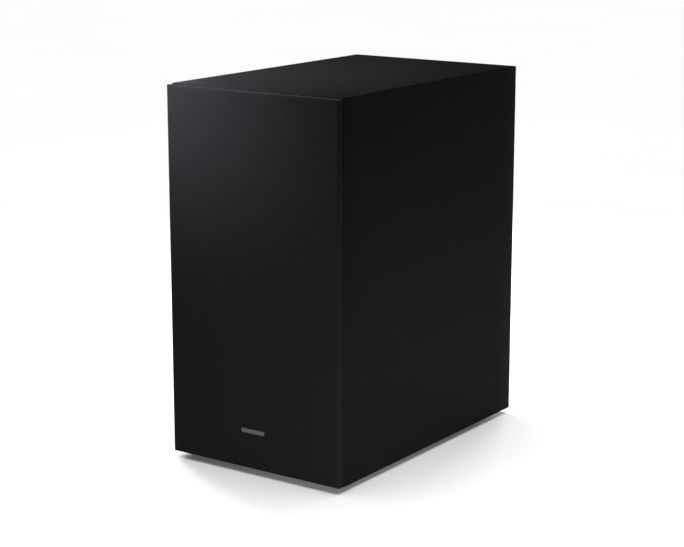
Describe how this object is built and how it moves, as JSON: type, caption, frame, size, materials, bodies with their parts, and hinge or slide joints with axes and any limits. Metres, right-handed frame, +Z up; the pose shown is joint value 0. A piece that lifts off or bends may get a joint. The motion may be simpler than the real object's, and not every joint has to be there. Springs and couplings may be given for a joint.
{
  "type": "subwoofer",
  "caption": "Tall box-shaped wireless bass speaker: wrapped cabinet, pull-off cloth grille, woofer, rear bass port and amplifier module.",
  "frame": {"origin": "middle of the footprint at the bottom of the feet", "axes": "+Z up, +X to the right seen from the front, the grille faces -Y"},
  "size_m": [0.184, 0.295, 0.343],
  "materials": {
    "vinyl_wrap": "satin",
    "fibreboard": "raw",
    "black_fibreboard": "painted",
    "wadding": "fluffy",
    "soft_rubber": "matt",
    "zinc_steel": "zinc plated",
    "black_steel": "black",
    "moulded_plastic": "fine grain",
    "pale_nylon": "plain",
    "grille_weave": "fine weave",
    "satin_metal": "satin",
    "foam": "open cell",
    "ferrite": "sintered",
    "phenolic": "laminate",
    "copper": "enamelled",
    "amber_cloth": "resin set",
    "coated_paper": "pulp",
    "tinned_brass": "tinned",
    "circuit_laminate": "lacquered",
    "blue_laminate": "lacquered",
    "yellow_tape": "taped",
    "capacitor_sleeve": "sleeved",
    "cable_sheath": "smooth",
    "bright_steel": "plated",
    "clear_lens": "clear"
  },
  "bodies": {
    "cabinet": {"top_board": "vinyl_wrap", "left_board": "vinyl_wrap", "bottom_board": "vinyl_wrap", "right_board": "vinyl_wrap", "front_baffle": "fibreboard", "back_board": "black_fibreboard", "damping_wadding": "wadding", "foot_front_left": "soft_rubber", "foot_front_right": "soft_rubber", "foot_rear_left": "soft_rubber", "foot_rear_right": "soft_rubber", "foot_screws": "zinc_steel", "grille_grommets": "soft_rubber", "woofer_basket": "black_steel", "woofer_gasket": "foam", "surround_clamp_ring": "moulded_plastic", "woofer_screws": "black_steel", "top_plate": "zinc_steel", "magnet_ring": "ferrite", "pole_yoke": "zinc_steel", "terminal_strip": "phenolic", "tinsel_leads": "copper", "surround": "soft_rubber", "spider": "amber_cloth", "port_tube": "moulded_plastic", "port_screws": "black_steel", "amp_panel": "moulded_plastic", "amp_gasket": "foam", "amp_panel_screws": "black_steel", "power_inlet": "moulded_plastic", "inlet_pins": "tinned_brass", "amp_board": "circuit_laminate", "board_screws": "zinc_steel", "transformer_core": "ferrite", "transformer_winding": "yellow_tape", "bulk_capacitors": "capacitor_sleeve", "output_inductors": "ferrite", "heatsink": "satin_metal", "amp_chip": "moulded_plastic", "speaker_socket": "pale_nylon", "speaker_plug": "pale_nylon", "speaker_cable": "cable_sheath", "wireless_board": "blue_laminate", "shield_can": "bright_steel", "button_switch": "moulded_plastic", "link_led": "clear_lens", "service_port": "bright_steel"},
    "cone_assembly": {"cone": "coated_paper", "dust_cap": "coated_paper", "voice_coil_former": "amber_cloth", "voice_coil_winding": "copper"},
    "grille": {"grille_frame": "moulded_plastic", "grille_cloth": "grille_weave", "grille_badge": "satin_metal", "grille_pegs": "pale_nylon"},
    "pairing_button": {"id_button": "moulded_plastic"}
  },
  "joints": [
    {"name": "cone_travel", "type": "slide", "parent": "cabinet", "child": "cone_assembly", "axis": [0, -1, 0], "range_m": [-0.005, 0.005], "stiffness_N_per_m": 1900, "deforming": ["surround", "spider", "tinsel_leads"]},
    {"name": "grille_pull", "type": "slide", "parent": "cabinet", "child": "grille", "axis": [0, -1, 0], "range_m": [0, 0.016]},
    {"name": "pairing_button_press", "type": "slide", "parent": "cabinet", "child": "pairing_button", "axis": [0, -1, 0], "range_m": [0, 0.0008], "stiffness_N_per_m": 300, "springref_m": -0.003}
  ]
}
